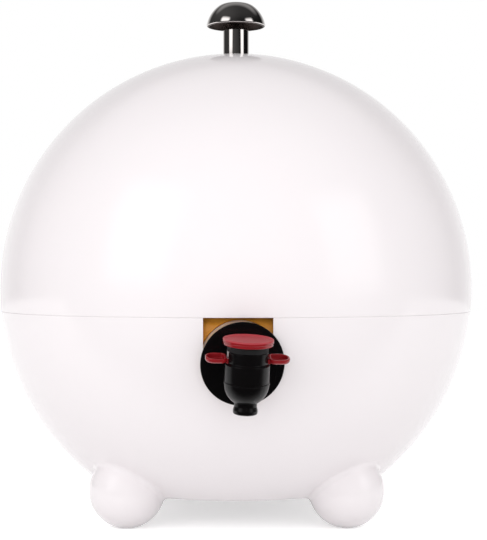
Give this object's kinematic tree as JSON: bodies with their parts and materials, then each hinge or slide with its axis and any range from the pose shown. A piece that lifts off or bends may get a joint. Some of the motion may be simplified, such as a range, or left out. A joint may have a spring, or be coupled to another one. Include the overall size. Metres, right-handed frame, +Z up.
{
  "type": "wine dispenser",
  "caption": "Ball-shaped wine dispenser on ball feet: bowl with a filled wine bag and its press tap in a front notch, under a lift-off dome with a metal mushroom knob.",
  "frame": {"origin": "on the ball's upright axis, in the plane the four feet stand on", "axes": "+Z up along the ball's axis through the knob; the tap faces -Y; +X is to the right of someone facing the tap"},
  "size_m": [0.29, 0.3219, 0.3149],
  "materials": {
    "white_shell": "high gloss",
    "knob_metal": "polished",
    "fastener_steel": "zinc plated",
    "tap_black": "satin",
    "tap_red": "satin",
    "tap_rubber": "matt",
    "gland_plastic": "natural, slightly waxy",
    "bag_film": "glossy metallised film"
  },
  "bodies": {
    "base": {"lower_shell": "white_shell", "tap_body": "tap_black", "tap_nozzle": "tap_black", "wing_yoke": "tap_red", "diaphragm": "tap_rubber", "bag_gland": "gland_plastic", "wine_bag": "bag_film"},
    "lid": {"upper_shell": "white_shell", "knob_stem": "knob_metal", "knob_cap": "knob_metal", "knob_washer": "fastener_steel", "knob_screw": "fastener_steel"},
    "button": {"push_button": "tap_red", "valve_stem": "tap_black", "valve_seal": "tap_rubber"}
  },
  "joints": [
    {"name": "lid_lift", "type": "slide", "parent": "base", "child": "lid", "axis": [0, 0, 1], "range_m": [0, 0.12]},
    {"name": "button_press", "type": "slide", "parent": "base", "child": "button", "axis": [-0.0427, 0.135, -0.9899], "range_m": [0, 0.0035], "stiffness_N_per_m": 1500, "springref_m": -0.002, "deforming": ["diaphragm"]}
  ]
}
